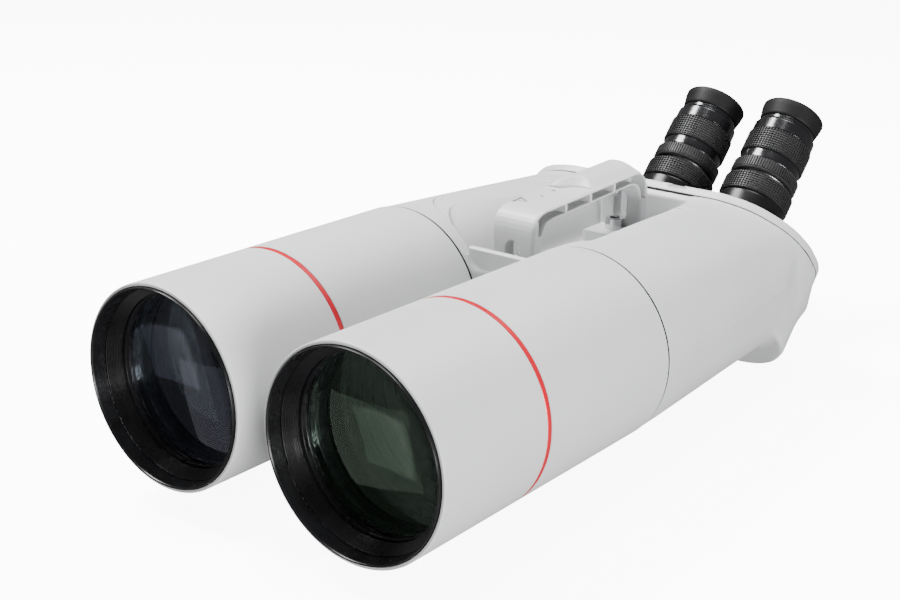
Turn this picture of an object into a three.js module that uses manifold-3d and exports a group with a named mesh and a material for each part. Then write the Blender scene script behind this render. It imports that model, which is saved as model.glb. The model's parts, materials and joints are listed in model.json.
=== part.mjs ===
// Giant astronomy binoculars: two 100 mm objectives, a common rear housing with a carry handle,
// and 45-degree eyepieces on turrets that set the distance between the eyes.
//
// Everything is modelled in the optical frame: X across the two tubes, Y from the objective rims
// to the eyepieces, Z up, with z = 0 on the tube axes. "left" is the user's left, which is +X.
// The rear cover, turrets and eyepieces are modelled in a slanted frame, whose Y is the
// eyepiece axis, 45 degrees up. At the end the whole model is moved so that the part's
// origin is the centre of the mounting foot's lower face.
import * as THREE from "three";
import { mergeVertices } from "three/addons/utils/BufferGeometryUtils.js";
import { ConvexGeometry } from "three/addons/geometries/ConvexGeometry.js";
import Module from "manifold-3d";

const wasm = await Module();
wasm.setup();

// ---- driving dimensions, in millimetres ----
const TUBE_X = 69.5; // half the distance between the two tube axes
const TUBE_R = 60; // outer radius of the dew shields
const SHIELD_LENGTH = 204.6;
const HOUSING_FRONT = 205.2; // front faces of the housing's two lobes
const SHIELD_BORE = 57.4;
const INNER_TUBE_R = 56.2; // main tube and lens cell, inside the dew shields
const INNER_TUBE_BORE = 53.6;
const CELL_FRONT = 15.4;
const CELL_BORE = 51.8;
const LENS_R = 51.5;
const CLEAR_R = 49.6; // half the clear aperture
const RED_BAND = 85.9; // middle of the red band
const SLANT = Math.PI / 4; // eyepiece axes above the tube axes
const SLANT_Y = 416.4; // the slanted frame's origin: middle of the housing's slanted rim
const SLANT_Z = 11;
const RIM_ARCS = [ // the slanted rim is an oval drawn round these circles at x, z, and their mirror images
  { x: 56, z: 0, r: 58 },
  { x: 53, z: -5.2, r: 58 },
];
const BLOCK_DEPTH = 60.7; // prism block below the slanted rim
const LOBE_REAR = { y: 400, x: 64, z: -1.3, r: 54.4 }; // the lobes taper to this section
const WALL = 6;
const COVER_THICK = 7.5;
const FLOOR_Z = 18; // floor of the hand channel, under the handle
const CHANNEL_FRONT = 214.5;
const CHANNEL_REAR = 376;
const TURRET_Z = -9.2; // turret axis in the slanted frame, at x = +-TUBE_X
const EYE_X = 33.5; // half the distance between the eyepieces at rest
const EYE_Z = -38.6;
const EYE_RISE = 1.8; // eyepiece heights are measured from this height above the rim
const GEAR_TEETH = 44; // on a whole gear; each turret has a sector of it
const FOOT_FACE = -77; // lower face of the mounting foot
const FOOT_MIDDLE = 255;
const FOOT_LENGTH = 180;
const GAP = 0.3; // between pieces that touch
const TUBE_STEPS = 28; // facets round a tube
const EYE_STEPS = 20; // facets round an eyepiece piece

// ---- shapes ----
const point = (x, y) => new THREE.Vector2(x, y);

// A body of revolution about the Y axis. Its profile, [radius, y] pairs, starts and ends on
// the axis or is closed here into a ring.
function turned(profile, steps = TUBE_STEPS) {
  const points = profile.map(([r, y]) => point(r, y));
  const onAxis = profile[0][0] === 0;
  if (!onAxis) points.push(points[0].clone());
  if (THREE.ShapeUtils.area(points) < 0) points.reverse();
  return new THREE.LatheGeometry(points, steps);
}

const ring = (inner, outer, from, to, steps) =>
  turned([[inner, from], [outer, from], [outer, to], [inner, to]], steps);

const disc = (radius, from, to, steps) =>
  turned([[0, from], [radius, from], [radius, to], [0, to]], steps);

// A lens about the Y axis. Each face is an arc that bulges by its sag towards -Y or +Y.
function lens(radius, front, frontSag, rear, rearSag, steps) {
  const face = (edge, sag, out) =>
    [0, 0.4, 0.75, 1].map((t) => [radius * t, edge + out * sag * (1 - t * t)]);
  const rearFace = face(rear, rearSag, 1).reverse();
  return turned([...face(front, frontSag, -1), ...rearFace], steps);
}

const extruded = (shape, depth) =>
  new THREE.ExtrudeGeometry(shape, { depth, bevelEnabled: false, curveSegments: 8 });

// Prisms whose outline lies across the named axis: (x, z) for Y, (y, z) for X.
function prismAlongY(shape, from, to) {
  return extruded(shape, to - from).rotateX(Math.PI / 2).translate(0, to, 0);
}
function prismAlongX(shape, from, to) {
  const turn = new THREE.Matrix4().makeBasis(
    new THREE.Vector3(0, 1, 0),
    new THREE.Vector3(0, 0, 1),
    new THREE.Vector3(1, 0, 0),
  );
  return extruded(shape, to - from).applyMatrix4(turn).translate(from, 0, 0);
}
const prismAlongZ = (shape, from, to) => extruded(shape, to - from).translate(0, 0, from);

function box(x0, x1, y0, y1, z0, z1) {
  return new THREE.BoxGeometry(x1 - x0, y1 - y0, z1 - z0)
    .translate((x0 + x1) / 2, (y0 + y1) / 2, (z0 + z1) / 2);
}

// Points of a circle about the Y axis through (x, z), and of the slanted rim's oval.
function circlePoints(x, y, z, r, count = TUBE_STEPS) {
  const at = (i) => (2 * Math.PI * i) / count;
  return Array.from({ length: count }, (_, i) =>
    new THREE.Vector3(x + r * Math.cos(at(i)), y, z + r * Math.sin(at(i))));
}
const rimPoints = (y, inset) => RIM_ARCS.flatMap((arc) =>
  [-1, 1].flatMap((sign) => circlePoints(sign * arc.x, y, arc.z, arc.r - inset)));

const slanted = new THREE.Matrix4().makeRotationX(SLANT).setPosition(0, SLANT_Y, SLANT_Z);
const hull = (points) => new ConvexGeometry(points);

// ---- boolean work ----
function solid(geometry) {
  const bare = geometry.clone();
  for (const name of ["normal", "uv"]) bare.deleteAttribute(name);
  const merged = mergeVertices(bare, 1e-4);
  return new wasm.Manifold(new wasm.Mesh({
    numProp: 3,
    vertProperties: merged.attributes.position.array,
    triVerts: new Uint32Array(merged.index.array),
  }));
}
function geometryOf(made) {
  const mesh = made.getMesh();
  const geometry = new THREE.BufferGeometry();
  geometry.setAttribute("position", new THREE.BufferAttribute(mesh.vertProperties, 3));
  geometry.setIndex(new THREE.BufferAttribute(mesh.triVerts, 1));
  return geometry;
}
const joined = (...geometries) =>
  geometries.map(solid).reduce((all, one) => all.add(one));
const cut = (body, ...tools) =>
  tools.reduce((left, tool) => left.subtract(solid(tool)), body);

// ---- materials ----
const material = (color, roughness, metalness) =>
  new THREE.MeshStandardMaterial({ color, roughness, metalness });
const whiteCoat = material(0xd8d9da, 0.45, 0);
const blackAnodised = material(0x18181a, 0.4, 0.6);
const redAnodised = material(0xc23038, 0.3, 0.8);
const rubber = material(0x1c1c1c, 0.85, 0);
const glossBlack = material(0x101012, 0.15, 0.2);
const steel = material(0xb8b8ba, 0.25, 1);
const alloy = material(0x8a8c8e, 0.45, 1);
const felt = material(0x202022, 0.95, 0);
const glass = material(0x9fb8b4, 0.05, 0);

const part = new THREE.Group();
const optics = new THREE.Group();
optics.position.set(0, -FOOT_MIDDLE, -FOOT_FACE);
part.add(optics);

function addTo(group, name, geometry, look) {
  const mesh = new THREE.Mesh(geometry, look);
  mesh.name = name;
  group.add(mesh);
  return mesh;
}

// ---- housing: two lobes, the slanted prism block, and the web that joins them ----
const SOCKET_FLOOR = 213; // the main tube's flange stands on it
const CAVITY_FRONT = 217;
const BELLY_Z = FOOT_FACE + 14.3; // the foot is bolted up against it

// The hand channel: a flat floor, sides that rise along an arc towards the tops of the lobes,
// and an outline with round corners. With grow > 0 it is the same space, larger all round.
function channel(grow) {
  const arcX = 92.1;
  const arcZ = -24.5;
  const arcR = 80 - grow;
  const floor = FLOOR_Z - grow;
  const half = 70 + grow;
  const top = 100;
  const steps = [0, 1, 2, 3, 4, 5, 6];
  const low = Math.asin((floor - arcZ) / arcR);
  const high = Math.acos((arcX - half) / arcR);
  const side = steps.map((i) => {
    const a = low + ((high - low) * i) / (steps.length - 1);
    return [arcX - arcR * Math.cos(a), arcZ + arcR * Math.sin(a)];
  });
  const section = new THREE.Shape([
    ...side.map(([x, z]) => point(x, z)),
    point(half, top),
    point(-half, top),
    ...side.reverse().map(([x, z]) => point(-x, z)),
  ]);
  const front = CHANNEL_FRONT - grow;
  const rear = CHANNEL_REAR + grow;
  const frontR = 45 + grow;
  const rearR = 36 + grow;
  const plan = new THREE.Shape();
  plan.absarc(half - frontR, front + frontR, frontR, -Math.PI / 2, 0);
  plan.absarc(half - rearR, rear - rearR, rearR, 0, Math.PI / 2);
  plan.absarc(rearR - half, rear - rearR, rearR, Math.PI / 2, Math.PI);
  plan.absarc(frontR - half, front + frontR, frontR, Math.PI, 1.5 * Math.PI);
  return solid(prismAlongY(section, front, rear))
    .intersect(solid(prismAlongZ(plan, floor - 1, top)));
}

// One lobe is a cone that leans inwards. With inset > 0 it is the space inside its wall.
function lobe(sign, inset, from, to) {
  const section = (y) => {
    const t = (y - HOUSING_FRONT) / (LOBE_REAR.y - HOUSING_FRONT);
    const at = THREE.MathUtils.lerp;
    return circlePoints(
      sign * at(TUBE_X, LOBE_REAR.x, t), y, at(0, LOBE_REAR.z, t), at(TUBE_R, LOBE_REAR.r, t) - inset,
    );
  };
  return hull([...section(from), ...section(to)]);
}
const inSlant = (points) => points.map((p) => p.applyMatrix4(slanted));

const HANDLE_SCREWS = [243, 344.8];
const FOOT_SCREWS = [232, 322];
const FOOT_THREADS = [200, 280]; // 3/8-inch holes for a tripod head's own screws

function housing() {
  const blockPoints = inSlant([
    ...rimPoints(0, 0),
    ...rimPoints(4 - BLOCK_DEPTH, 0),
    ...rimPoints(1.2 - BLOCK_DEPTH, 1.2),
    ...rimPoints(-BLOCK_DEPTH, 4),
  ]);
  const fronts = [1, -1].flatMap((sign) =>
    circlePoints(sign * TUBE_X, HOUSING_FRONT, 0, TUBE_R));
  const envelope = hull([...blockPoints, ...fronts]); // it trims the lobes to the block's outline
  const lobes = [1, -1].map((sign) => lobe(sign, 0, HOUSING_FRONT, 440));
  const outside = joined(
    geometryOf(joined(...lobes).intersect(solid(envelope))),
    hull(blockPoints),
    box(-36, 36, 209.5, 395, -46, FLOOR_Z + 12),
    box(-31, 31, 215, 372, BELLY_Z, -30),
  )
    .subtract(channel(0))
    .add(solid(box(-27, 27, 210, CHANNEL_FRONT + 0.5, 10, 42)));
  const chamber = hull(inSlant([
    ...rimPoints(2, WALL),
    ...rimPoints(10 - BLOCK_DEPTH, WALL),
    ...rimPoints(WALL - BLOCK_DEPTH, WALL + 4),
  ]));
  const hollow = joined(
    ...[1, -1].map((sign) => lobe(sign, 5, CAVITY_FRONT, 400)),
    chamber,
    box(-9, 9, 226, 400, -40, 0),
  ).subtract(channel(4));
  const bores = [1, -1].flatMap((sign) => [
    disc(INNER_TUBE_R + 0.4, HOUSING_FRONT - 2, SOCKET_FLOOR).translate(sign * TUBE_X, 0, 0),
    disc(43.5, SOCKET_FLOOR - 1, CAVITY_FRONT + 2).translate(sign * TUBE_X, 0, 0),
  ]);
  const threads = [
    ...HANDLE_SCREWS.map((y) => upright(4.3, 3, FLOOR_Z + 2, y)),
    ...FOOT_SCREWS.map((y) => upright(4.3, BELLY_Z - 2, -44, y)),
  ];
  return geometryOf(cut(outside.subtract(hollow), ...bores, ...threads));
}

// A vertical cylinder on the centre line, for a screw or its hole.
const upright = (r, from, to, y, steps = 16) =>
  disc(r, from, to, steps).rotateX(Math.PI / 2).translate(0, y, 0);

// ---- carry handle: an arch on two inward feet, with a raised crown on the grip ----
const HANDLE_HALF = 16;
const FOOT_TOP = 28; // top of the handle's feet
function handle() {
  const outline = new THREE.Shape();
  const base = FLOOR_Z + 0.4;
  outline.moveTo(227, base);
  outline.lineTo(227, 51);
  outline.quadraticCurveTo(227.5, 64.5, 242, 65.4);
  outline.lineTo(344, 69.6);
  outline.quadraticCurveTo(360, 69, 361, 52);
  outline.lineTo(361, base);
  outline.lineTo(330, base);
  outline.lineTo(330, FOOT_TOP);
  outline.lineTo(351.5, FOOT_TOP);
  outline.lineTo(351.5, 50);
  outline.quadraticCurveTo(351, 63, 338, 62.8);
  outline.lineTo(250, 59.4);
  outline.quadraticCurveTo(236, 58.5, 235.5, 46);
  outline.lineTo(235.5, FOOT_TOP);
  outline.lineTo(258, FOOT_TOP);
  outline.lineTo(258, base);
  const crown = hull([
    ...[[284, 66.4], [349, 68.9]].flatMap(([y, z]) =>
      [-15.5, 15.5].map((x) => new THREE.Vector3(x, y, z))),
    ...[[284, 63], [349, 65]].flatMap(([y, z]) =>
      [-15.5, 15.5].map((x) => new THREE.Vector3(x, y, z))),
    ...[[292, 74.2], [343, 76.3]].flatMap(([y, z]) =>
      [-5, 5].map((x) => new THREE.Vector3(x, y, z))),
  ]);
  const body = joined(prismAlongX(outline, -HANDLE_HALF, HANDLE_HALF), crown);
  const slot = (z0, z1) => {
    const shape = new THREE.Shape();
    shape.absarc(0, z1 - 5, 5, 0, Math.PI);
    shape.absarc(0, z0 + 5, 5, Math.PI, 2 * Math.PI);
    return shape;
  };
  return geometryOf(cut(
    body,
    prismAlongY(slot(28.5, 46), 220, 240),
    prismAlongY(slot(33.5, 54), 346, 366),
    ...HANDLE_SCREWS.map((y) => upright(4.4, 10, 34, y)),
  ));
}

// A socket head cap screw standing on the centre line: head above z, shank below it.
function capScrew(z, y, shank, up = 1) {
  const profile = [
    [0, -shank], [4, -shank], [4, 0], [6.2, 0], [6.2, 8], [3.4, 8], [3.4, 3.5], [0, 3.5],
  ].map(([r, along]) => [r, up * along]);
  return turned(profile, 16).rotateX(Math.PI / 2).translate(0, y, z);
}

// ---- mounting foot: a dovetail bar under the balance point ----
function mountingFoot() {
  const section = new THREE.Shape([
    point(-30, FOOT_FACE), point(30, FOOT_FACE), point(25, FOOT_FACE + 14), point(-25, FOOT_FACE + 14),
  ]);
  const half = FOOT_LENGTH / 2;
  const bar = solid(prismAlongY(section, FOOT_MIDDLE - half, FOOT_MIDDLE + half));
  return geometryOf(cut(
    bar,
    ...FOOT_SCREWS.map((y) => upright(7, FOOT_FACE - 1, FOOT_FACE + 9, y)),
    ...FOOT_SCREWS.map((y) => upright(4.4, FOOT_FACE, FOOT_FACE + 20, y)),
    ...FOOT_THREADS.map((y) => upright(4, FOOT_FACE - 1, FOOT_FACE + 20, y, 12)),
  ));
}

addTo(optics, "main_housing", housing(), whiteCoat);
addTo(optics, "carry_handle", handle(), whiteCoat);
addTo(optics, "handle_screw_front", capScrew(FOOT_TOP + GAP, HANDLE_SCREWS[0], 22), steel);
addTo(optics, "handle_screw_rear", capScrew(FOOT_TOP + GAP, HANDLE_SCREWS[1], 22), steel);
addTo(optics, "mounting_foot", mountingFoot(), blackAnodised);
const FOOT_SCREW_SEAT = FOOT_FACE + 8.7;
addTo(optics, "foot_screw_front", capScrew(FOOT_SCREW_SEAT, FOOT_SCREWS[0], 20, -1), steel);
addTo(optics, "foot_screw_rear", capScrew(FOOT_SCREW_SEAT, FOOT_SCREWS[1], 20, -1), steel);

// ---- slanted frame: rear cover ----
const rear = new THREE.Group();
rear.rotation.x = SLANT;
rear.position.set(0, SLANT_Y, SLANT_Z);
optics.add(rear);

const BOSS_R = 20.4; // the turret's boss, which turns in the rear cover
const COVER_HOLE = 20.8;

function rearCover() {
  const plate = solid(hull([
    ...rimPoints(GAP, 0),
    ...rimPoints(COVER_THICK - 2, 0),
    ...rimPoints(COVER_THICK, 1.6),
  ]));
  const holes = [1, -1].map((sign) =>
    disc(COVER_HOLE, -2, COVER_THICK + 2).translate(sign * TUBE_X, 0, TURRET_Z));
  return geometryOf(cut(plate, ...holes));
}
addTo(rear, "rear_cover", rearCover(), whiteCoat);

// ---- turret: carries the rhomboid prism that moves the eyepiece off the tube's axis ----
const TURRET_BASE = COVER_THICK + 0.4;
const TURRET_TOP = 26 + EYE_RISE;
const PRISM_HALF = 6.8; // half the rhomboid prism's thickness
const PRISM_BASE = 10.4;

// The rhomboid prism's solid: its section lies in the plane of the two axes.
function rhomboid(sign, grow) {
  const across = new THREE.Vector3(sign * (EYE_X - TUBE_X), 0, EYE_Z - TURRET_Z);
  const length = across.length();
  across.normalize();
  const side = new THREE.Vector3(-across.z, 0, across.x);
  const start = new THREE.Vector3(sign * TUBE_X, 0, TURRET_Z);
  const half = PRISM_HALF + grow;
  const corner = (along, up, out) =>
    start.clone()
      .addScaledVector(across, along)
      .addScaledVector(side, out * (PRISM_HALF + 1 + grow))
      .setY(up);
  const low = PRISM_BASE - grow;
  const high = PRISM_BASE + 2 * PRISM_HALF + grow;
  return hull([-1, 1].flatMap((out) => [
    corner(-half - grow, low, out),
    corner(length - half + grow, low, out),
    corner(length + half + grow, high, out),
    corner(half - grow, high, out),
  ]));
}

function turret(sign) {
  const outline = (y, inset) => [
    ...circlePoints(sign * TUBE_X, y, TURRET_Z, 22.4 - inset),
    ...circlePoints(sign * EYE_X, y, EYE_Z, 26.4 - inset),
  ];
  const body = joined(
    hull([...outline(TURRET_BASE, 0), ...outline(TURRET_TOP - 3, 0), ...outline(TURRET_TOP, 3)]),
    disc(BOSS_R, -9, TURRET_BASE + 1).translate(sign * TUBE_X, 0, TURRET_Z),
  );
  return geometryOf(cut(
    body,
    rhomboid(sign, 0.4),
    disc(10, -10, PRISM_BASE + 1, EYE_STEPS).translate(sign * TUBE_X, 0, TURRET_Z),
    disc(12, PRISM_BASE + 12, TURRET_TOP + 1, EYE_STEPS).translate(sign * EYE_X, 0, EYE_Z),
  ));
}

// ---- gear sectors: they mesh on the centre line, so that the turrets turn as mirror images ----
const PITCH_R = TUBE_X;
function gearSector(sign) {
  const pressure = THREE.MathUtils.degToRad(20);
  const baseR = PITCH_R * Math.cos(pressure);
  const tipR = PITCH_R + 2.7;
  const rootR = PITCH_R - 3.4;
  const pitchAngle = (2 * Math.PI) / GEAR_TEETH;
  const backlash = 0.35 / PITCH_R;
  const involute = (r) => {
    const a = Math.acos(Math.min(1, baseR / r));
    return Math.tan(a) - a;
  };
  // Half a tooth's angle at radius r.
  const halfTooth = (r) =>
    pitchAngle / 4 - backlash / 2 + involute(PITCH_R) - involute(Math.max(r, baseR));
  const flank = [rootR, baseR + 0.6, PITCH_R - 0.9, PITCH_R + 0.9, tipR].filter(
    (r, i) => i === 0 || r > rootR + 0.2);
  const polar = (r, a) => point(-sign * r * Math.cos(a), r * Math.sin(a));
  const phase = sign > 0 ? 0 : pitchAngle / 2; // a tooth of one meets a gap of the other
  const teeth = [-3, -2, -1, 0, 1, 2, 3].flatMap((i) => {
    const middle = i * pitchAngle + phase;
    return [
      ...flank.map((r) => polar(r, middle - halfTooth(r))),
      ...[...flank].reverse().map((r) => polar(r, middle + halfTooth(r))),
    ];
  });
  const hubR = 29;
  const spread = 3.5 * pitchAngle + phase;
  const first = -3.5 * pitchAngle + phase;
  const hubFrom = spread + 0.6;
  const hubTo = 2 * Math.PI + first - 0.6;
  const hub = Array.from({ length: 13 }, (_, i) =>
    polar(hubR, hubFrom + ((hubTo - hubFrom) * i) / 12));
  const shape = new THREE.Shape([polar(rootR, first), ...teeth, polar(rootR, spread), ...hub]);
  const bore = circlePoints(0, 0, 0, BOSS_R + GAP).map((p) => point(p.x, p.z));
  shape.holes.push(new THREE.Path(bore));
  return prismAlongY(shape, -8.5, -2.5).translate(sign * TUBE_X, 0, TURRET_Z);
}

// ---- fixed prism behind each tube: it turns the light 45 degrees up, to the turret ----
const HOLDER_TOP = -14.5;
const HOLDER_BASE = -18.6;
function prismHolder(sign) {
  const plate = solid(hull(
    [HOLDER_BASE, HOLDER_TOP].flatMap((y) => rimPoints(y, WALL + 0.5))));
  const [from, to] = sign > 0 ? [36, 112] : [-112, -36];
  return geometryOf(cut(
    plate.intersect(solid(
      box(from, to, HOLDER_BASE - 1, HOLDER_TOP + 1, TURRET_Z - 42, TURRET_Z + 37))),
    disc(14, HOLDER_BASE - 1, HOLDER_TOP + 1, EYE_STEPS).translate(sign * TUBE_X, 0, TURRET_Z),
  ));
}

// Corners of the prism's section, [z from the turret's axis, y]. The last two carry its roof.
function roofPrism(sign) {
  const top = HOLDER_BASE - GAP;
  const half = 17;
  const corners = [[34, top], [-20, top], [11.4, top - 22.6]];
  const ridge = [[-11, top - 22], [-22, top - 8]];
  return hull([
    ...corners.flatMap(([z, y]) =>
      [-half, half].map((x) => new THREE.Vector3(sign * TUBE_X + x, y, TURRET_Z + z))),
    ...ridge.map(([z, y]) => new THREE.Vector3(sign * TUBE_X, y, TURRET_Z + z)),
  ]);
}

// ---- one side of the instrument ----
function addSide(side, sign) {
  const tube = new THREE.Group();
  tube.position.x = sign * TUBE_X;
  optics.add(tube);
  const onTube = (name, geometry, look) => addTo(tube, `${side}_${name}`, geometry, look);

  const bandHalf = 1.7;
  const bandFloor = TUBE_R - 1;
  onTube("dew_shield", turned([
    [58, 0], [TUBE_R - 0.4, 0], [TUBE_R, 0.5],
    [TUBE_R, RED_BAND - bandHalf], [bandFloor, RED_BAND - bandHalf],
    [bandFloor, RED_BAND + bandHalf], [TUBE_R, RED_BAND + bandHalf],
    [TUBE_R, SHIELD_LENGTH], [SHIELD_BORE, SHIELD_LENGTH], [SHIELD_BORE, 7.8], [58, 7.8],
  ]), whiteCoat);
  onTube("red_band", ring(
    bandFloor + 0.2, TUBE_R - 0.15, RED_BAND - bandHalf + 0.2, RED_BAND + bandHalf - 0.2,
  ), redAnodised);
  onTube("front_ring", turned([
    [57.7, 7.5], [57.7, -0.1], [57.2, -1.5], [56.7, -1.5], [55.4, 7.5],
  ]), blackAnodised);

  onTube("main_tube", turned([
    [INNER_TUBE_BORE, 30], [INNER_TUBE_R, 30], [INNER_TUBE_R, SOCKET_FLOOR - GAP],
    [44, SOCKET_FLOOR - GAP], [44, SOCKET_FLOOR - 4], [INNER_TUBE_BORE, SOCKET_FLOOR - 4],
  ]), blackAnodised);
  onTube("guide_ring", ring(INNER_TUBE_R + 0.2, SHIELD_BORE - 0.2, 40, 56), felt);
  onTube("lens_cell", turned([
    [CELL_BORE, CELL_FRONT], [INNER_TUBE_R, CELL_FRONT], [INNER_TUBE_R, 30 - GAP],
    [INNER_TUBE_BORE - GAP, 30 - GAP], [INNER_TUBE_BORE - GAP, 46], [50, 46], [50, 38.2],
    [CELL_BORE, 38.2],
  ]), blackAnodised);
  onTube("cell_front_ring", turned([
    [55, 7.9], [56.1, 7.9], [56.1, CELL_FRONT - GAP], [50.7, CELL_FRONT - GAP],
  ]), blackAnodised);
  onTube("retaining_ring", ring(CLEAR_R, CELL_BORE - 0.2, 17.2, 20.4), blackAnodised);
  onTube("crown_lens", lens(LENS_R, 20.7, 4, 25.2, 5.5), glass);
  onTube("lens_spacer", ring(50, LENS_R, 25.5, 26.5), blackAnodised);
  onTube("flint_lens", lens(LENS_R, 26.8, -5.4, 37.7, 1.5), glass);
  onTube("light_baffle", ring(42, INNER_TUBE_BORE - GAP, 118, 120.5), blackAnodised);

  const onRear = (name, geometry, look) => addTo(rear, `${side}_${name}`, geometry, look);
  onRear("prism_holder", prismHolder(sign), alloy);
  onRear("roof_prism", roofPrism(sign), glass);
  onRear("turret_housing", turret(sign), blackAnodised);
  onRear("rhomboid_prism", rhomboid(sign, 0), glass);
  onRear("ipd_gear", gearSector(sign), alloy);

  const eye = new THREE.Group();
  eye.position.set(sign * EYE_X, EYE_RISE, EYE_Z);
  rear.add(eye);
  const turnedEye = (profile) => turned(profile, EYE_STEPS);
  const onEye = (name, geometry, look) => addTo(eye, `${side}_${name}`, geometry, look);

  onEye("focuser_base", turnedEye([
    [18.7, 26 + GAP], [24.6, 26 + GAP], [25.3, 28], [25.3, 49.5], [24.4, 51.7],
    [21.4, 51.7], [21.4, 66.6], [18.7, 66.6],
  ]), blackAnodised);
  onEye("focus_ring", turnedEye([
    [21.8, 52.1], [25, 52.1], [25.6, 53], [25.6, 66], [24.8, 67], [21.8, 67],
  ]), rubber);
  onEye("drawtube", turnedEye([
    [16.1, 34], [18.3, 34], [18.3, 70], [20.5, 70], [20.5, 80], [16.1, 80],
  ]), alloy);
  onEye("clamp_ring", turnedEye([
    [20.9, 70.4], [23.6, 70.4], [24.7, 71.6], [24.7, 80.3], [20.9, 80.3],
  ]), blackAnodised);
  onEye("eyepiece_body", turnedEye([
    [14, 45], [15.8, 45], [15.8, 80.8], [22.5, 80.8], [22.5, 88.3], [21.2, 88.3],
    [21.2, 107.2], [23, 107.2], [23, 116], [21.4, 118.2], [21.4, 121], [17.6, 121],
    [17.6, 129], [15.6, 129], [15.6, 121.6], [14, 121.6],
  ]), glossBlack);
  onEye("eyepiece_grip", turnedEye([
    [21.5, 88.6], [23.4, 88.6], [23.8, 89.2], [23.8, 106.3], [23.4, 106.9], [21.5, 106.9],
  ]), rubber);
  onEye("field_lens", lens(13.7, 60, 1.6, 63, 2, EYE_STEPS), glass);
  onEye("eye_lens", lens(15.3, 121.9, -1, 126.5, 1.6, EYE_STEPS), glass);
  onEye("eyecup", turnedEye([
    [18, 121.4], [20.7, 121.4], [20.9, 123], [23.2, 135], [22.1, 135],
    [19.6, 130], [18, 129.4],
  ]), rubber);
}
addSide("left", 1);
addSide("right", -1);

export default part;
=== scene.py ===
import json
import math

import bmesh
import bpy
import numpy as np
from mathutils import Matrix, Vector


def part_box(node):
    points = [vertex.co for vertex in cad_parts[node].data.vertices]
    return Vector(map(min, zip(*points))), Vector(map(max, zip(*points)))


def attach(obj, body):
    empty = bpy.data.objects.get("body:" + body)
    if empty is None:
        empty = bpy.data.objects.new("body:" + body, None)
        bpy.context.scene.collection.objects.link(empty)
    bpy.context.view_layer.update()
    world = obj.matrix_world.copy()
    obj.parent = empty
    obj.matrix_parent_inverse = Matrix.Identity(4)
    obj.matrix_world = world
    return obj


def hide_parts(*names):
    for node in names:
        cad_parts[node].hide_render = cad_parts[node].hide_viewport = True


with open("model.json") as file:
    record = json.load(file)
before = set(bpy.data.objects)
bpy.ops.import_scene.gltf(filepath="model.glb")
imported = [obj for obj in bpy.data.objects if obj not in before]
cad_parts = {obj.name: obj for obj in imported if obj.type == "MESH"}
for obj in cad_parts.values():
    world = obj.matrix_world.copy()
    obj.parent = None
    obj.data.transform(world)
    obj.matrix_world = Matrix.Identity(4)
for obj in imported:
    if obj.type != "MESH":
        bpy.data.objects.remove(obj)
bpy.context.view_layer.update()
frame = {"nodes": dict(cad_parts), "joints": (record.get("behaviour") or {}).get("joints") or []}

# Giant astronomy binoculars. Shapes are worked out in millimetres in the optical frame: x across
# the tubes, y from the objective rims to the eyepieces, z up, with z = 0 on the tube axes.
# The slanted frame is the eyepieces': x across, v along their axes, w up the slope.
MM = 0.001
SIDES = {"left": 1, "right": -1}

# ---- sizes that the frame gives ----
joints = {j["name"]: j for j in frame["joints"]}
shield_low, shield_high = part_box("left_dew_shield")
ORIGIN = Vector((0, shield_low.y, (shield_low.z + shield_high.z) / 2))
TUBE_X = (shield_low.x + shield_high.x) / 2 / MM
TUBE_R = (shield_high.x - shield_low.x) / 2 / MM
SHIELD_LENGTH = (shield_high.y - shield_low.y) / MM
FOOT_FACE = -ORIGIN.z / MM
EYE_AXIS = Vector(joints["left_focus_turn"]["axis"])
SLANT = math.atan2(EYE_AXIS.z, EYE_AXIS.y)
COS, SIN = math.cos(SLANT), math.sin(SLANT)

# ---- sizes of the castings ----
HOUSING_FRONT = SHIELD_LENGTH + 0.6
SLANT_Y, SLANT_Z = 416.4, 11  # middle of the housing's slanted rim
# The slanted rim is the outline round circles of radius RIM_R with these centres (x, w).
RIM_HALF = [(56, 10), (61, 8.66), (64.66, 5), (66, 0), (66, -9), (62, -15.2)]
RIM_CENTRES = RIM_HALF + [(-x, w) for x, w in reversed(RIM_HALF)]
RIM_R = 48
RIM_TOP = RIM_HALF[0][1] + RIM_R
BLOCK_DEPTH = 60.7  # of the block behind the rim, along v
LOBE_REAR = {"y": 400, "x": 64, "z": -1.3, "r": 54.4}  # a circle that each lobe tapers through
LOBE_END_Y = 425  # inside the block
LOBE_TRIM = {"x": 112.6, "spread": 0.32, "y": 398}  # the lobes' outer sides, next to the block
WALL, LOBE_WALL, THIN_WALL = 6, 5, 4
SOCKET_R, SOCKET_END = 56.6, 213  # where each main tube sits
THROAT_R, THROAT_END = 43.5, 219  # the light's way from it into the lobe
COVER_THICK = 7.5
COVER_BASE = 1.2
# How far along v the near-black band in the cover's seam reaches: painted shade for the seam line.
SEAM_SHADE_BASE, SEAM_SHADE_TOP = 0.05, 1.15
FLOOR_Z = 18  # of the hand channel
CHANNEL_ARC = {"x": 70.7, "z": 10.4, "r": 47}
CHANNEL_PLAN = {"front": 214.5, "rear": 372, "half": 62, "front_r": 40, "rear_r": 30}
LAND_PLAN = {"front": 217, "rear": 342, "half": 79, "front_r": 45, "rear_r": 28}
LAND_DEPTH = 1.7
WEB = ((-36, 209.5, -46), (36, 395, FLOOR_Z + 12))
BELLY = ((-31, 215, FOOT_FACE + 14.3), (31, 372, -30))
GUSSET = ((-22, 210, 8), (22, 214.6, 42))
HANDLE_HALF = 16.5
FAR = 9  # a distance at which a cut does nothing
HANDLE_SCREWS = [243, 344.8]
HANDLE_RIBS = (262, 290, 318)
HANDLE_FEET_TOP = 28
FOOT_SCREWS = [232, 322]
FOOT_THREADS = [200, 280]
FOOT_MIDDLE, FOOT_LENGTH = 255, 180
FOOT_HALF, FOOT_TAPER, FOOT_THICK = 30, 5, 14
SCREW_HOLE_R = 4.4
TURRET_W = -9.2
TURRET_R, TURRET_EYE_R = 22.4, 26.4  # round its own axis, and round the eyepiece
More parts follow.
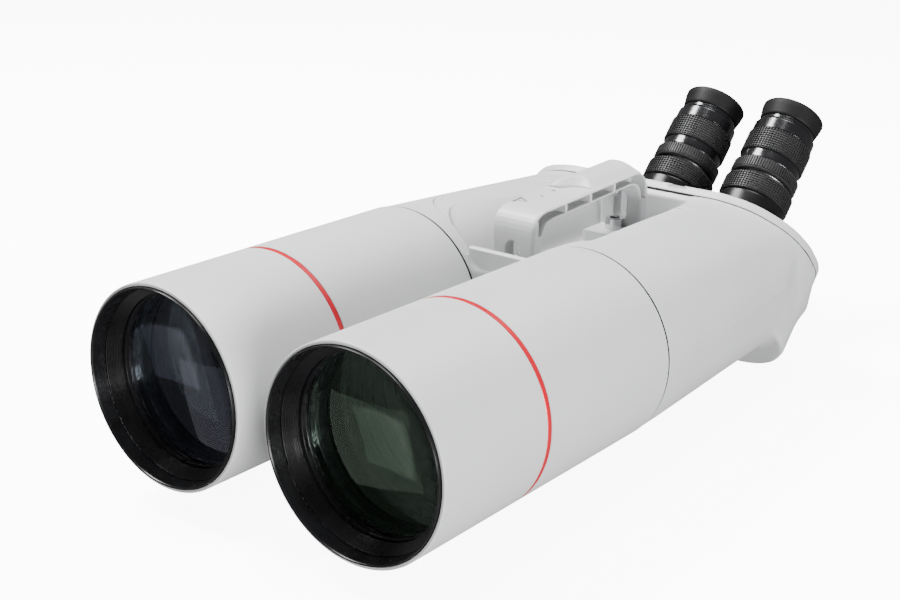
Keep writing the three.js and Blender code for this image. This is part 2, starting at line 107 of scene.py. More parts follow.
EYE_X, EYE_W, EYE_RISE = 33.5, -38.6, 1.8
TURRET_TOP = 26 + EYE_RISE
BOSS_R = 20.4
SPANNER_SLOT = {"left": 250, "right": 265}  # where the lens ring's slots lie, in degrees


# ---- frames ----
def to_part(x, y, z):
    """Optical frame, mm, to the part's frame, m. Works on numbers and on arrays."""
    return x * MM, ORIGIN.y + y * MM, ORIGIN.z + z * MM


def from_slant(x, v, w):
    return x, SLANT_Y + v * COS - w * SIN, SLANT_Z + v * SIN + w * COS


def slanted_part(x, v, w):
    return to_part(*from_slant(x, v, w))


def to_slant(x, y, z):
    dy, dz = y - SLANT_Y, z - SLANT_Z
    return x, dy * COS + dz * SIN, dz * COS - dy * SIN


def tube_place(sign):
    return lambda x, y, z: to_part(x + sign * TUBE_X, y, z)


def eye_place(sign):
    return lambda x, y, z: slanted_part(x + sign * EYE_X, y + EYE_RISE, z + EYE_W)


def turret_place(sign):
    return lambda x, y, z: slanted_part(x + sign * TUBE_X, y, z + TURRET_W)


def upright_place(y0, z0):
    """The turned axis stands up at y0, z0 on the centre line."""
    return lambda x, y, z: to_part(x, y0 - z, z0 + y)


# ---- materials ----
def node(tree, kind, **values):
    made = tree.nodes.new(kind)
    for key, value in values.items():
        if hasattr(made, key):
            setattr(made, key, value)
        else:
            made.inputs[key].default_value = value
    return made


def noise(tree, vector, scale, detail=4.0, rough=0.55):
    made = node(tree, "ShaderNodeTexNoise", Scale=scale, Detail=detail, Roughness=rough)
    tree.links.new(vector, made.inputs["Vector"])
    return made.outputs["Fac"]


def ranged(tree, value, low, high, start=0.3, end=0.7):
    limits = {"From Min": start, "From Max": end, "To Min": low, "To Max": high}
    made = node(tree, "ShaderNodeMapRange", **limits)
    tree.links.new(value, made.inputs["Value"])
    return made.outputs["Result"]


def added(tree, first, second):
    made = node(tree, "ShaderNodeMath", operation="ADD")
    tree.links.new(first, made.inputs[0])
    tree.links.new(second, made.inputs[1])
    return made.outputs[0]


def mixed(tree, factor, first, second):
    made = node(tree, "ShaderNodeMix", data_type="RGBA")
    made.inputs[6].default_value = (*first, 1)
    made.inputs[7].default_value = (*second, 1)
    tree.links.new(factor, made.inputs[0])
    return made.outputs[2]


def bumped(tree, shader, height, strength, distance):
    bump = node(tree, "ShaderNodeBump", Strength=strength, Distance=distance)
    tree.links.new(height, bump.inputs["Height"])
    tree.links.new(bump.outputs["Normal"], shader.inputs["Normal"])


def new_material(name):
    """A material, its node tree, its Principled shader and the object's own coordinates."""
    made = bpy.data.materials.new(name)
    made.use_nodes = True
    tree = made.node_tree
    where = node(tree, "ShaderNodeTexCoord").outputs["Object"]
    return made, tree, tree.nodes["Principled BSDF"], where


def surface(name, low, high, rough, patch, grain, depth, turned_lines=0, **sockets):
    """A Principled material: its colour and roughness drift between two values, and its
    relief is a fine grain, with lathe marks round the axis if turned_lines is set."""
    made, tree, shader, where = new_material(name)
    drift = noise(tree, where, patch)
    fine = noise(tree, where, grain, 3.0, 0.6)
    tree.links.new(mixed(tree, ranged(tree, drift, 0, 1), low, high), shader.inputs["Base Color"])
    both = added(tree, ranged(tree, drift, *rough), ranged(tree, fine, -0.03, 0.03))
    tree.links.new(both, shader.inputs["Roughness"])
    height = fine
    if turned_lines:
        along = node(tree, "ShaderNodeAttribute", attribute_name="along").outputs["Fac"]
        lines = node(tree, "ShaderNodeTexNoise", noise_dimensions="1D", Scale=turned_lines, Detail=3.0)
        tree.links.new(along, lines.inputs["W"])
        height = added(tree, fine, lines.outputs["Fac"])
    bumped(tree, shader, height, 0.5, depth)
    for key, value in sockets.items():
        shader.inputs[key.replace("_", " ")].default_value = value
    return made


WHITE = surface(
    "powder_coat", (0.44, 0.444, 0.448), (0.47, 0.474, 0.478), (0.42, 0.48),
    patch=9, grain=1500, depth=0.00005, Specular_IOR_Level=0.45,
)
BLACK = surface(
    "black_anodised", (0.003, 0.003, 0.0033), (0.006, 0.006, 0.0065), (0.24, 0.32),
    patch=60, grain=2500, depth=0.000006, turned_lines=6.0, Specular_IOR_Level=0.20,
)
GLOSS = surface(
    "gloss_black", (0.004, 0.004, 0.0045), (0.007, 0.007, 0.008), (0.13, 0.19),
    patch=70, grain=1200, depth=0.00001, Specular_IOR_Level=0.6,
)
RUBBER = surface(
    "grip_rubber", (0.013, 0.013, 0.0135), (0.018, 0.018, 0.0188), (0.44, 0.54),
    patch=120, grain=2600, depth=0.000006, Specular_IOR_Level=0.30,
)
CUP_RUBBER = surface(
    "soft_rubber", (0.004, 0.004, 0.0042), (0.007, 0.007, 0.0075), (0.50, 0.62),
    patch=80, grain=3200, depth=0.00002, Specular_IOR_Level=0.14,
)
RED = surface(
    "red_anodised", (0.36, 0.002, 0.012), (0.42, 0.004, 0.016), (0.30, 0.38),
    patch=40, grain=2400, depth=0.00001, turned_lines=9.0, Specular_IOR_Level=0.3,
)
# A paler, pinkish red for the red ring's chamfers: a painted highlight along the band's edges.
RED_EDGE_HIGHLIGHT = surface(
    "red_edge_highlight", (0.60, 0.07, 0.08), (0.66, 0.10, 0.11), (0.22, 0.3),
    patch=60, grain=2400, depth=0.00001, Metallic=0.6,
)
CHROME = surface(
    "bright_steel", (0.62, 0.62, 0.63), (0.72, 0.72, 0.73), (0.08, 0.14),
    patch=200, grain=3000, depth=0.00001, Metallic=1.0,
)
ALLOY = surface(
    "machined_alloy", (0.42, 0.425, 0.43), (0.52, 0.525, 0.53), (0.28, 0.38),
    patch=60, grain=1800, depth=0.00002, turned_lines=8.0, Metallic=1.0,
)
FELT = surface(
    "felt", (0.010, 0.010, 0.011), (0.02, 0.02, 0.022), (0.9, 1.0),
    patch=300, grain=4000, depth=0.0002, Sheen_Weight=0.5,
)
MATTE = surface(
    "matt_black_inside", (0.001, 0.001, 0.0013), (0.002, 0.002, 0.0025), (0.60, 0.68),
    patch=50, grain=2000, depth=0.00003, Specular_IOR_Level=0.08,
)


GLASS_IOR = 1.32  # below bare glass, because the coating takes away most of its reflection


def coated_glass(name, glow_face, glow_edge, glint, shine):
    """Lens glass whose anti-reflection coat shows as a tint that changes with the angle."""
    made, tree, shader, where = new_material(name)
    facing = node(tree, "ShaderNodeLayerWeight", Blend=0.35).outputs["Facing"]
    drift = noise(tree, where, 14, 1.0)
    total = node(tree, "ShaderNodeMath", operation="MULTIPLY_ADD")
    tree.links.new(drift, total.inputs[0])
    total.inputs[1].default_value = 0.35
    tree.links.new(facing, total.inputs[2])
    tint = mixed(tree, ranged(tree, total.outputs[0], 0, 1, 0.1, 0.8), glow_face, glow_edge)
    tree.links.new(tint, shader.inputs["Base Color"])
    tree.links.new(ranged(tree, noise(tree, where, 30), 0.0, 0.003), shader.inputs["Roughness"])
    shader.inputs["IOR"].default_value = GLASS_IOR
    shader.inputs["Specular IOR Level"].default_value = shine
    shader.inputs["Specular Tint"].default_value = (*glint, 1)
    shader.inputs["Transmission Weight"].default_value = 1.0
    return made


GREEN_GLASS = coated_glass(
    "coated_glass_green", (0.90, 0.95, 0.90), (0.80, 0.90, 0.82), (0.16, 0.42, 0.20), 0.10,
)
BLUE_GLASS = coated_glass(
    "coated_glass_blue", (0.90, 0.92, 0.97), (0.80, 0.80, 0.95), (0.17, 0.20, 0.44), 0.10,
)
EYE_GLASS = coated_glass(
    "coated_glass_eye", (0.80, 0.90, 0.88), (0.75, 0.70, 0.90), (0.4, 0.7, 0.6), 0.2,
)
PRISM_GLASS = coated_glass(
    "prism_glass", (0.80, 0.88, 0.86), (0.70, 0.82, 0.80), (0.12, 0.16, 0.14), 0.08,
)
FRONT_GLASS = {"left": GREEN_GLASS, "right": BLUE_GLASS}


# ---- turned pieces ----
def soften(profile, radius, closed, steps=3):
    """A profile of (r, y) or (r, y, own radius) with its corners rounded."""
    count = len(profile)
    points = []
    for i, corner in enumerate(profile):
        here = Vector(corner[:2])
        if not closed and i in (0, count - 1):
            points.append(tuple(here))
            continue
        before = Vector(profile[i - 1][:2]) - here
        after = Vector(profile[(i + 1) % count][:2]) - here
        size = corner[2] if len(corner) > 2 else radius
        size = min(size, 0.45 * before.length, 0.45 * after.length)
        if size < 0.02:
            points.append(tuple(here))
            continue
        start, end = here + before.normalized() * size, here + after.normalized() * size
        for k in range(steps + 1):
            t = k / steps
            points.append(tuple(start * (1 - t) ** 2 + here * 2 * t * (1 - t) + end * t * t))
    return points


def new_object(name, data):
    made = bpy.data.objects.new(name, data)
    bpy.context.scene.collection.objects.link(made)
    return made


def new_piece(name, mesh, material, body, cad):
    """Makes the object, gives it its finish and ties it to the frame."""
    piece = new_object(name, mesh)
    for one in material if isinstance(material, list) else [material]:
        mesh.materials.append(one)
    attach(piece, body)
    if cad:
        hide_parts(cad)
    return piece


def full_turn(count):
    return np.linspace(0, 2 * math.pi, count, endpoint=False)


def directions(count):
    turn = full_turn(count)
    return np.stack([np.cos(turn), np.sin(turn)], -1)


def placed_at(place, x, y, z):
    """Points in a piece's own frame as rows of the part's frame."""
    return np.stack([np.broadcast_to(c, x.shape) for c in place(x, y, z)], -1)


def loop_faces(loops, count, closed):
    """The faces between loops of points. The last loop joins the first if closed."""
    faces = []
    for i in range(loops if closed else loops - 1):
        nxt = (i + 1) % loops
        for j in range(count):
            k = (j + 1) % count
            faces.append((i * count + j, i * count + k, nxt * count + k, nxt * count + j))
    return faces


def capped_faces(loops, count):
    """The same for a solid piece, with its first and last loops filled."""
    ends = [tuple(range(count)), tuple(range((loops - 1) * count, loops * count))]
    return loop_faces(loops, count, False) + ends


def revolve(points, angles, place, closed, relief=None):
    """The vertices and faces of a profile turned about its y axis. relief, if given, is a table
    of how far each vertex sits inside the profile, by profile point and by angle."""
    rows, columns = len(points), len(angles)
    r = np.array([p[0] for p in points])[:, None] * np.ones(columns)
    if relief is not None:
        r = r - relief
    along = np.array([p[1] for p in points])[:, None] * np.ones(columns)
    x, z = r * np.cos(angles), r * np.sin(angles)
    vertices = placed_at(place, x, along, z).reshape(-1, 3)
    faces = []
    for i in range(rows if closed else rows - 1):
        nxt = (i + 1) % rows
        flat_start, flat_end = points[i][0] < 1e-6, points[nxt][0] < 1e-6
        for j in range(columns):
            k = (j + 1) % columns
            a, b, c, d = i * columns + j, i * columns + k, nxt * columns + k, nxt * columns + j
            if flat_start:
                faces.append((i * columns, c, d))
            elif flat_end:
                faces.append((a, b, nxt * columns))
            else:
                faces.append((a, b, c, d))
    return vertices, faces, along.reshape(-1)


def mesh_piece(name, points, faces, material, body, cad, along=0, marks=None, smooth=38):
    """A piece from its points and faces. along is each point's place on the turning axis, for
    the lathe marks, and marks are the faces' material slots. smooth is in degrees."""
    mesh = bpy.data.meshes.new(name)
    mesh.from_pydata(points.tolist(), [], faces)
    store = mesh.attributes.new("along", "FLOAT", "POINT")
    store.data.foreach_set("value", np.full(len(points), along, np.float32))
    if marks is not None:
        mesh.polygons.foreach_set("material_index", np.asarray(marks, np.int32))
    build = bmesh.new()
    build.from_mesh(mesh)
    loose = [v for v in build.verts if not v.link_faces]
    bmesh.ops.delete(build, geom=loose, context="VERTS")
    bmesh.ops.recalc_face_normals(build, faces=build.faces)
    build.to_mesh(mesh)
    build.free()
    mesh.validate()
    mesh.shade_smooth()
    mesh.set_sharp_from_angle(angle=math.radians(smooth))
    piece = new_piece(name, mesh, material, body, cad)
    piece.modifiers.new("even_shading", "WEIGHTED_NORMAL").keep_sharp = True
    return piece


def turned(name, profile, place, material, body, cad=None, radius=0.4, steps=144, pale=None):
    """A turned piece. Its profile holds (r, y) or (r, y, corner radius), and starts and ends on
    the axis or closes into a ring. pale picks the stretches that take the second material."""
    closed = profile[0][0] > 1e-6
    points = soften(profile, radius, closed)
    vertices, faces, along = revolve(points, full_turn(steps), place, closed)
    marks = None
    if pale:
        rows = len(points) if closed else len(points) - 1
        marks = np.repeat([1 if pale(points[i], points[(i + 1) % len(points)]) else 0
                           for i in range(rows)], steps)
    mesh_piece(name, vertices, faces, material, body, cad, along, marks)


def banded(name, lower, band, upper, count, depth, place, material, body, cad, rows=0):
    """A ring with a gripping band (radius, from, to): rows of square pads, or ribs along the
    axis when rows is 0. lower and upper are the profile before and after the band."""
    band_r, band_from, band_to = band
    share = [0.0, 0.34, 0.42, 0.92]  # of a pitch: the groove's floor, then the pad's top
    raised = [0, 0, 1, 1]
    pitch = 2 * math.pi / count
    angles = np.array([pitch * (i + s) for i in range(count) for s in share])
    column_on = np.tile(raised, count)
    if rows:
        step = (band_to - band_from) / rows
        heights = [band_from + step * (i + s) for i in range(rows) for s in share] + [band_to]
        row_on = raised * rows + [0]
    else:
        heights = [band_from, band_from + 0.25, band_to - 0.25, band_to]
        row_on = [0, 1, 1, 0]
    start, end = soften(lower, 0.3, False), soften(upper, 0.3, False)
    points = start + [(band_r, h) for h in heights] + end
    on = np.concatenate([np.ones(len(start)), row_on, np.ones(len(end))])
    table = depth * (1 - np.outer(on, column_on))
    table[: len(start)] = 0
    table[len(points) - len(end):] = 0
    if rows:
        table[len(start)] = depth
        table[len(start) + len(heights) - 1] = depth
    vertices, faces, along = revolve(points, angles, place, True, table)
    mesh_piece(name, vertices, faces, material, body, cad, along, smooth=30)


def arc_face(edge_r, edge_y, sag, out, steps=20):
    """Points from the axis to the edge of a lens face that bulges by sag."""
    return [(edge_r * t, edge_y + out * sag * (1 - t * t)) for t in np.linspace(0, 1, steps)]


def lens_piece(name, radius, front, front_sag, back, back_sag, place, material, body, cad):
    """A lens with chamfered edges. front and back are where its faces meet its edge."""
    face = arc_face(radius, front, front_sag, -1)
    rear = arc_face(radius, back, back_sag, 1)[::-1]
    chamfered = face[:-1] + [(radius - 0.3, face[-1][1]), (radius, face[-1][1] + 0.3)]
    chamfered += [(radius, rear[0][1] - 0.3), (radius - 0.3, rear[0][1])] + rear[1:]
    vertices, faces, along = revolve(chamfered, full_turn(144), place, False)
    piece = mesh_piece(name, vertices, faces, material, body, cad, along, smooth=30)
    piece.visible_shadow = False


# ---- cast pieces: fields of distance to the surface, negative inside, in mm ----
def smooth_min(a, b, k):
    """The union of two fields, with a fillet that is about k wide where they meet."""
    h = np.maximum(k - np.abs(a - b), 0) / k
    return np.minimum(a, b) - h * h * k / 4


def smooth_max(a, b, k):
    return -smooth_min(-a, -b, k)


def box_field(x, y, z, low, high, r):
    """A box with its edges rounded to r."""
    parts = []
    for c, lo, hi in zip((x, y, z), low, high):
        parts.append(np.abs(c - (lo + hi) / 2) - (hi - lo) / 2 + r)
    out = np.sqrt(sum(np.maximum(p, 0) ** 2 for p in parts))
    return out + np.minimum(np.maximum.reduce(parts), 0) - r


def outline_field(u, v, corners):
    """Distance to a closed outline in its own plane, negative inside."""
    best = np.full(u.shape, 1e9)
    inside = np.zeros(u.shape, bool)
    for (x0, y0), (x1, y1) in zip(corners, corners[1:] + corners[:1]):
        dx, dy = x1 - x0, y1 - y0
        t = np.clip(((u - x0) * dx + (v - y0) * dy) / (dx * dx + dy * dy), 0, 1)
        best = np.minimum(best, (u - x0 - t * dx) ** 2 + (v - y0 - t * dy) ** 2)
        if dy:
            crosses = (y0 > v) != (y1 > v)
            inside ^= crosses & (u < x0 + (v - y0) * dx / dy)
    return np.where(inside, -1, 1) * np.sqrt(best)


def sampled(field, points, chunk=60000):
    """The field at many points, in pieces that fit in memory."""
    return np.concatenate([field(*points[i:i + chunk].T) for i in range(0, len(points), chunk)])


def slopes(field, points, reach):
    made = np.empty_like(points)
    for axis in range(3):
        step = np.zeros(3)
        step[axis] = reach
        made[:, axis] = sampled(field, points + step) - sampled(field, points - step)
    return made / (2 * reach)


def to_surface(field, points, limit, rounds):
    """Moves points onto the surface along the field's slope, by at most limit in each round."""
    for _ in range(rounds):
        value = sampled(field, points)
        slope = slopes(field, points, 0.05)
        steep = np.maximum((slope ** 2).sum(1), 0.05)
        move = slope * (value / steep)[:, None]
        size = np.maximum(np.linalg.norm(move, axis=1), 1e-9)
        points = points - move * np.minimum(1, limit / size)[:, None]
    return points


def grid_field(field, low, high, h):
    """The field on a grid. Blocks far from the surface get only its sign."""
    block = 4
    counts = [block * math.ceil((b - a) / h / block) for a, b in zip(low, high)]
    low = np.array(low, float)
    centres = np.stack(np.meshgrid(
        *[np.arange(0, n, block) + (block - 1) / 2 for n in counts], indexing="ij"), -1)
    coarse = sampled(field, (low + h * centres).reshape(-1, 3)).reshape(centres.shape[:3])
    values = np.repeat(np.repeat(np.repeat(np.sign(coarse) * 99, block, 0), block, 1), block, 2)
    blocks = np.argwhere(np.abs(coarse) < 6.5 * h)  # a block's half diagonal is 3.5 h
    inner = np.stack(np.meshgrid(*[np.arange(block)] * 3, indexing="ij"), -1).reshape(-1, 3)
    index = (blocks[:, None, :] * block + inner[None]).reshape(-1, 3)
    values[tuple(index.T)] = sampled(field, low + h * index)
    return values, low


def skin(field, low, high, h, relax=2):
    """A closed mesh of four-sided faces on the field's surface."""
    values, low = grid_field(field, low, high, h)
    inside = values < 0
    corners = [(i, j, k) for i in (0, 1) for j in (0, 1) for k in (0, 1)]
    shape = [n - 1 for n in inside.shape]
    window = [inside[i:i + shape[0], j:j + shape[1], k:k + shape[2]] for i, j, k in corners]
    total = sum(w.astype(np.int8) for w in window)
    cells = np.argwhere((total > 0) & (total < 8))
    number = np.full(shape, -1)
    number[tuple(cells.T)] = np.arange(len(cells))
    summed, crossings = np.zeros((len(cells), 3)), np.zeros(len(cells))
    for a in corners:
        for axis in range(3):
            if a[axis]:
                continue
            b = tuple(1 if i == axis else c for i, c in enumerate(a))
            va, vb = values[tuple((cells + a).T)], values[tuple((cells + b).T)]
            cross = (va < 0) != (vb < 0)
            t = np.where(cross, va / np.where(cross, va - vb, 1), 0)
            place = cells + np.array(a, float)
            place[:, axis] += t
            summed += place * cross[:, None]
            crossings += cross
    points = low + h * summed / crossings[:, None]
    faces = []
    for axis, (u, v) in enumerate([(1, 2), (2, 0), (0, 1)]):
        first = np.take(inside, range(inside.shape[axis] - 1), axis)
        second = np.take(inside, range(1, inside.shape[axis]), axis)
        edge = np.argwhere(first != second)
        fits = (edge[:, u] > 0) & (edge[:, v] > 0)
        fits &= (edge[:, u] < shape[u]) & (edge[:, v] < shape[v])
        edge = edge[fits]
        around = []
        for du, dv in ((1, 1), (0, 1), (0, 0), (1, 0)):
            cell = edge.copy()
            cell[:, u] -= du
            cell[:, v] -= dv
            around.append(number[tuple(cell.T)])
        quads = np.stack(around, 1)
        turn = ~first[tuple(edge.T)]
        quads[turn] = quads[turn][:, ::-1]
        faces.append(quads)
    faces = np.concatenate(faces)
    points = to_surface(field, points, h, 2)
    ends = np.concatenate([faces[:, [0, 1]], faces[:, [1, 2]], faces[:, [2, 3]], faces[:, [3, 0]]])
    for _ in range(relax):
        near = np.zeros_like(points)
        for axis in range(3):
            near[:, axis] = np.bincount(ends[:, 0], points[ends[:, 1], axis], len(points))
            near[:, axis] += np.bincount(ends[:, 1], points[ends[:, 0], axis], len(points))
        degree = np.bincount(ends.reshape(-1), minlength=len(points))
        drift = near / degree[:, None] - points
        slope = slopes(field, points, 0.1)
        slope /= np.maximum(np.linalg.norm(slope, axis=1), 1e-6)[:, None]
        drift -= slope * (drift * slope).sum(1)[:, None]
        points = to_surface(field, points + 0.5 * drift, h, 1)
    return points, faces


def cast(name, field, low, high, h, place, material, body, cad, most_faces=190000):
    """A cast piece: its skin on a grid of step h, thinned out, with the field's own normals."""
    points, faces = skin(field, low, high, h)
    mesh = bpy.data.meshes.new(name)
    mesh.vertices.add(len(points))
    mesh.vertices.foreach_set("co", points.reshape(-1).astype(np.float32))
    mesh.loops.add(faces.size)
    mesh.loops.foreach_set("vertex_index", faces.reshape(-1).astype(np.int32))
    mesh.polygons.add(len(faces))
    mesh.polygons.foreach_set("loop_start", np.arange(0, faces.size, 4, dtype=np.int32))
    mesh.update(calc_edges=True)
    if 2 * len(faces) > most_faces:
        holder = new_object(name + "_dense", mesh)
        thin = holder.modifiers.new("thin", "DECIMATE")
        thin.ratio = most_faces / (2 * len(faces))
        graph = bpy.context.evaluated_depsgraph_get()
        lean = bpy.data.meshes.new_from_object(holder.evaluated_get(graph))
        bpy.data.objects.remove(holder)
        mesh = lean
    count = len(mesh.vertices)
    points = np.empty(count * 3, np.float32)
    mesh.vertices.foreach_get("co", points)
    points = points.reshape(-1, 3).astype(float)
    normals = slopes(field, points, 0.25)
    normals /= np.maximum(np.linalg.norm(normals, axis=1), 1e-6)[:, None]
    placed = np.stack(place(*points.T), 1)
    ahead = np.stack(place(*(points + normals).T), 1) - placed
    mesh.vertices.foreach_set("co", placed.reshape(-1).astype(np.float32))
    mesh.update()
    mesh.shade_smooth()
    ahead /= np.linalg.norm(ahead, axis=1)[:, None]
    mesh.normals_split_custom_set_from_vertices(ahead.tolist())
    new_piece(name, mesh, material, body, cad)


# ---- housing ----
def rim_oval(x, w):
    return outline_field(x, w, RIM_CENTRES) - RIM_R


def lobe_field(x, y, z, inset=0.0):
    """The two tapering lobes behind the tubes, or what is inset within them."""
    t = (y - HOUSING_FRONT) / (LOBE_REAR["y"] - HOUSING_FRONT)
    middle_x = TUBE_X + t * (LOBE_REAR["x"] - TUBE_X)
    radius = TUBE_R + t * (LOBE_REAR["r"] - TUBE_R) - inset
    return np.hypot(np.abs(x) - middle_x, z - t * LOBE_REAR["z"]) - radius


def flank_planes(count=91):
    """Planes that touch both the pair of front circles and the slanted block, all round one
    side. Each row is a unit normal and its distance from the origin."""
    turn = np.radians(np.linspace(-90, 90, count))
    low, high = np.full(count, -1.3), np.full(count, 1.3)

    def reach(tilt):
        n = np.stack([np.cos(turn) * np.cos(tilt), np.sin(tilt), np.sin(turn) * np.cos(tilt)])
        front = n[0] * TUBE_X + n[1] * HOUSING_FRONT + TUBE_R * np.hypot(n[0], n[2])
        n_w = n[2] * COS - n[1] * SIN
        n_v = n[1] * COS + n[2] * SIN
        centre = n[1] * SLANT_Y + n[2] * SLANT_Z
        disc = RIM_R * np.hypot(n[0], n_w)
        oval = np.max([x * n[0] + w * n_w for x, w in RIM_CENTRES], axis=0) + disc + centre
        oval = np.maximum(oval, oval - (BLOCK_DEPTH - 1.5) * n_v)
        return n, front, oval

    for _ in range(40):
        tilt = (low + high) / 2
        _, front, oval = reach(tilt)
        low = np.where(front > oval, tilt, low)
        high = np.where(front > oval, high, tilt)
    n, front, oval = reach((low + high) / 2)
    return n.T, np.maximum(front, oval)


FLANK_N, FLANK_D = flank_planes()


def flank_field(x, y, z):
    """Distance to the hull that those planes wrap, smoothed between neighbouring planes."""
    values = np.stack([np.abs(x), y, z], -1) @ FLANK_N.T - FLANK_D
    best = np.clip(values.argmax(-1), 1, values.shape[-1] - 2)
    pick = np.arange(len(values))
    here, before, after = values[pick, best], values[pick, best - 1], values[pick, best + 1]
    bend = np.minimum(before - 2 * here + after, -1e-6)
    gain = np.clip(-((after - before) ** 2) / (8 * bend), 0, 0.3)
    return np.maximum(here + gain, np.maximum(before, after))


def rounded_plan(x, y, front, rear, half, front_r, rear_r):
    """Distance to a rectangle in plan whose front and rear corners have their own radii."""
    middle, reach = (front + rear) / 2, (rear - front) / 2
    r = np.where(y < middle, front_r, rear_r)
    qx, qy = np.abs(x) - half + r, np.abs(y - middle) - reach + r
    return np.hypot(np.maximum(qx, 0), np.maximum(qy, 0)) + np.minimum(np.maximum(qx, qy), 0) - r


def channel_field(x, y, z):
    """The hand channel: a deep cut between the tubes, and a shallow land around it."""
    arc = np.hypot(np.abs(x) - CHANNEL_ARC["x"], z - CHANNEL_ARC["z"]) - CHANNEL_ARC["r"]
    plan = rounded_plan(x, y, **CHANNEL_PLAN)
    deep = smooth_max(smooth_max(-arc, FLOOR_Z - z, 7), plan, 3)
    land = np.maximum(-lobe_field(x, y, z, LAND_DEPTH), rounded_plan(x, y, **LAND_PLAN))
    return np.minimum(deep, np.maximum(land, FLOOR_Z - z))


def housing_field(x, y, z):
    _, v, w = to_slant(x, y, z)
    flank = flank_field(x, y, z)
    oval = rim_oval(x, w)
    lobes = smooth_max(np.maximum(lobe_field(x, y, z), y - LOBE_END_Y), flank, 2)
    spread = LOBE_TRIM["spread"] * np.maximum(LOBE_TRIM["y"] - y, 0)
    lobes = smooth_max(lobes, np.abs(x) - LOBE_TRIM["x"] - spread, 4)
    block = smooth_max(oval, -v - BLOCK_DEPTH, 3.5)
    body = smooth_min(lobes, np.maximum(block, v), 5)
    body = smooth_min(body, box_field(x, y, z, *WEB, 3), 6)
    body = smooth_min(body, box_field(x, y, z, *BELLY, 3), 5)
    channel = channel_field(x, y, z)
    body = smooth_max(body, -channel, 1.0)
    body = smooth_min(body, box_field(x, y, z, *GUSSET, 0.9), 0.9)
    body = smooth_max(body, v, 0.8)
    body = smooth_max(body, HOUSING_FRONT + 0.35 - y, 0.5)
    tube = np.hypot(np.abs(x) - TUBE_X, z)
    socket = np.maximum(tube - SOCKET_R, y - SOCKET_END)
    throat = np.maximum(tube - THROAT_R, y - THROAT_END)
    body = smooth_max(body, -np.minimum(socket, throat), 0.8)
    ends = np.maximum(SOCKET_END + THIN_WALL - y, y - LOBE_REAR["y"])
    inner_lobes = np.maximum(lobe_field(x, y, z, LOBE_WALL), ends)
    inner_lobes = np.maximum(inner_lobes, flank + THIN_WALL)
    chamber = smooth_max(oval + WALL, -(v + BLOCK_DEPTH - WALL), 8)
    hollow = np.maximum(np.minimum(inner_lobes, chamber), THIN_WALL - channel)
    return smooth_max(body, -hollow, 0.8)


cast(
    "housing_casting", housing_field, (-133, 200, -80), (133, 470, 66), 1.35, to_part,
    WHITE, "chassis", "main_housing",
)


def cover_field(x, v, w):
    """The plate, a hole and a ring groove for each turret, and a dimple in its upper edge."""
    outline = rim_oval(x, w) + 0.1
    plate = smooth_max(smooth_max(outline, v - COVER_THICK, 2.4), COVER_BASE - v, 0.5)
    from_turret = np.hypot(np.abs(x) - TUBE_X, w - TURRET_W)
    plate = smooth_max(plate, -(from_turret - BOSS_R - 0.5), 0.8)
    dimple = np.sqrt(((x - 28) / 7.5) ** 2 + ((v - 5.2) / 2.4) ** 2 + ((w - RIM_TOP) / 3) ** 2) - 1
    plate = smooth_max(plate, -dimple * 2, 0.3)
    groove = np.abs(np.abs(from_turret - 31) - 0.4) - 0.5
    return np.maximum(plate, -np.maximum(groove, COVER_THICK - 0.5 - v))


def rim_outline(inset, count=288):
    """Points round the slanted rim, set in from its edge."""
    way = directions(count)
    centres = np.array(RIM_CENTRES)
    pick = (way @ centres.T).argmax(-1)
    return centres[pick] + way * (RIM_R - inset)


def add_cover_seam_shade():
    """A near-black flat band between the housing's rim and the cover: painted shade that darkens the
    seam.
    """
    outer, inner = rim_outline(0.35), rim_outline(4.5)
    rings = [placed_at(slanted_part, spots[:, 0], v, spots[:, 1]) for spots, v in (
        (outer, SEAM_SHADE_BASE), (outer, SEAM_SHADE_TOP), (inner, SEAM_SHADE_TOP), (inner, SEAM_SHADE_BASE),
    )]
    faces = loop_faces(len(rings), len(outer), True)
    mesh_piece(
        "cover_seam_shade", np.concatenate(rings), faces, MATTE, "chassis", None,
    )


add_cover_seam_shade()
cast(
    "cover_casting", cover_field, (-118, -2, -69), (118, 10, 62), 0.8, slanted_part,
    WHITE, "chassis", "rear_cover",
)


# ---- carry handle ----
def bezier(p0, p1, p2, steps=8):
    """Points on a bend from p0 to p2, without p0 itself."""
    return [tuple((1 - t) ** 2 * a + 2 * t * (1 - t) * b + t * t * c for a, b, c in zip(p0, p1, p2))
            for t in np.linspace(0, 1, steps + 1)[1:]]


BASE, FEET = FLOOR_Z + 0.4, HANDLE_FEET_TOP
HANDLE_OUTLINE = (  # (y, z), over the arch from front to rear and back beneath it
    [(227, BASE), (227, 51)] + bezier((227, 51), (227.5, 64.5), (242, 65.4)) + [(344, 69.6)]
    + bezier((344, 69.6), (360, 69), (361, 52)) + [(361, BASE), (330, BASE), (330, FEET)]
    + [(351.5, FEET), (351.5, 49)] + bezier((351.5, 49), (351, 62), (338, 61.8))
    + [(250, 57.6)] + bezier((250, 57.6), (236, 57), (235.5, 44))
    + [(235.5, FEET), (258, FEET), (258, BASE)]
)


def slot_field(x, z, z0, z1, r):
    """An upright slot with round ends, from z0 to z1."""
    return np.hypot(x, z - np.clip(z, z0 + r, z1 - r)) - r


def crown_field(x, y, z):
    """The handle's raised top: a rising flat with bevels, whose front edge runs in an S."""
    (front_y, front_z), (rear_y, rear_z) = (292, 74.2), (343, 76.3)
    slope = (rear_z - front_z) / (rear_y - front_y)
    top = z - front_z - (y - front_y) * slope
    side = (z - 66.6 - (y - 284) * 0.041) * 0.80 + (np.abs(x) - 15.5) * 0.60
    side = np.maximum(side, np.abs(x) - 15.8)
    edge = 288.5 + 5.5 * np.tanh((x + 2) / 5)
    front = np.maximum((z - 66.2) * 0.70 - (y - edge + 2.6) * 0.71, edge - y)
    rear = (z - 69.4) * 0.62 + (y - 350.5) * 0.785
    crown = smooth_max(smooth_max(top, side, 3), smooth_max(front, rear, 0.8), 0.8)
    return np.maximum(crown, 62 - z)


